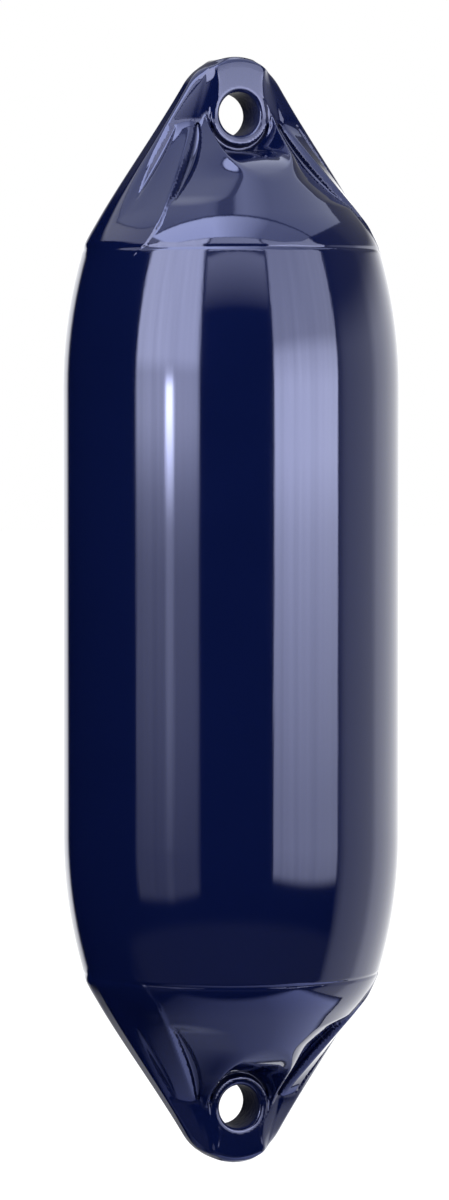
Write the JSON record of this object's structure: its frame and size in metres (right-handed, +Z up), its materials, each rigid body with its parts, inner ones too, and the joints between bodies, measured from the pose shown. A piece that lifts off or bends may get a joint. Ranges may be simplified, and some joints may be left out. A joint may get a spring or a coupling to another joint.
{
  "type": "boat fender",
  "caption": "Inflatable cylindrical boat fender of dark blue moulded vinyl, with a solid rope eye and side fins at each end and a screw air valve near the top.",
  "frame": {"origin": "centre of the bore of the upper eye, where the fender hangs on its rope", "axes": "+Z up along the body's axis, Y along the bores of the eyes, X across the fins"},
  "size_m": [0.22, 0.22, 0.723],
  "materials": {
    "vinyl": "glossy moulded",
    "bush_plastic": "satin moulded",
    "screw_plastic": "satin moulded"
  },
  "bodies": {
    "root": {"fender_body": "vinyl", "valve_bush": "bush_plastic", "valve_screw": "screw_plastic"}
  },
  "joints": []
}
